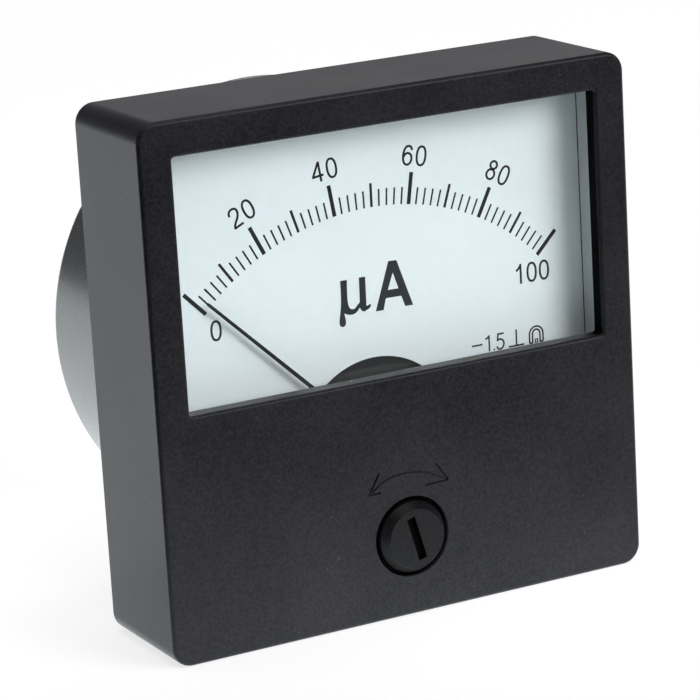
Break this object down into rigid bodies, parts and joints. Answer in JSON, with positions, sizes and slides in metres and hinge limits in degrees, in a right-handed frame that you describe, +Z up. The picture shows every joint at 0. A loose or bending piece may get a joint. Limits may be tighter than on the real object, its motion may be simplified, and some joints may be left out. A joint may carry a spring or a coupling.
{
  "type": "analog panel meter",
  "caption": "Square moving-coil panel meter: black cover with a window over a 0 to 100 scale, pointer, zero adjuster, round case behind with studs and terminals.",
  "frame": {"origin": "middle of the cover's rear rim, on the face that seats on the panel", "axes": "+X to the right as the dial is read, +Y back into the panel along the mounting studs, +Z up"},
  "size_m": [0.08, 0.0644, 0.08],
  "materials": {
    "cover_plastic": "black moulded plastic, fine satin grain",
    "case_plastic": "black moulded plastic, semi-gloss",
    "window_clear": "clear moulded plastic, polished",
    "adjuster_plastic": "black moulded plastic, satin",
    "dial_paint": "off-white painted sheet, matt",
    "pointer_black": "black painted aluminium strip",
    "movement_black": "black moulded insulating plastic",
    "brass": "turned brass",
    "steel": "zinc-plated steel",
    "soft_iron": "turned soft iron",
    "magnet": "ground magnet alloy",
    "aluminium": "plain aluminium",
    "copper": "enamelled copper wire",
    "bronze": "phosphor bronze strip",
    "lead_red": "red insulated wire",
    "lead_black": "black insulated wire"
  },
  "bodies": {
    "housing": {"front_cover": "cover_plastic", "window_pane": "window_clear", "rear_case": "case_plastic", "cover_screws": "steel", "mounting_studs": "steel", "terminal_studs": "brass", "terminal_tags": "brass", "terminal_washers": "brass", "terminal_nuts": "brass", "dial_plate": "dial_paint", "dial_screws": "steel", "core_magnet": "magnet", "yoke_ring": "soft_iron", "core_spacers": "brass", "movement_frame": "movement_black", "movement_screws": "steel", "front_bridge": "movement_black", "rear_bridge": "brass", "front_bridge_screws": "steel", "rear_bridge_screws": "steel", "front_jewel_screw": "brass", "rear_jewel_screw": "brass", "rear_hairspring": "bronze", "positive_lead": "lead_red", "negative_lead": "lead_black"},
    "adjuster": {"zero_adjuster": "adjuster_plastic", "adjuster_clip": "steel"},
    "lever": {"zero_lever": "brass", "front_hairspring": "bronze"},
    "moving_coil": {"pointer": "pointer_black", "balance_weights": "brass", "coil_former": "aluminium", "coil_winding": "copper", "front_pivot": "steel", "rear_pivot": "steel", "spring_collets": "brass"}
  },
  "joints": [
    {"name": "adjuster_turn", "type": "hinge", "parent": "housing", "child": "adjuster", "pos_m": [0, -0.021, -0.0278], "axis": [0, 1, 0], "range_deg": [-60, 60]},
    {"name": "lever_turn", "type": "hinge", "parent": "housing", "child": "lever", "pos_m": [0, -0.01745, -0.0156], "axis": [0, 1, 0], "range_deg": [-4.6, 4.6]},
    {"name": "pointer_turn", "type": "hinge", "parent": "lever", "child": "moving_coil", "pos_m": [0, -0.0051, -0.0156], "axis": [0, 1, 0], "range_deg": [-2.5, 97], "stiffness_Nm_per_rad": 0.000005}
  ],
  "couplings": [
    {"joint": "lever_turn", "follows": "adjuster_turn", "ratio": -0.0755}
  ]
}
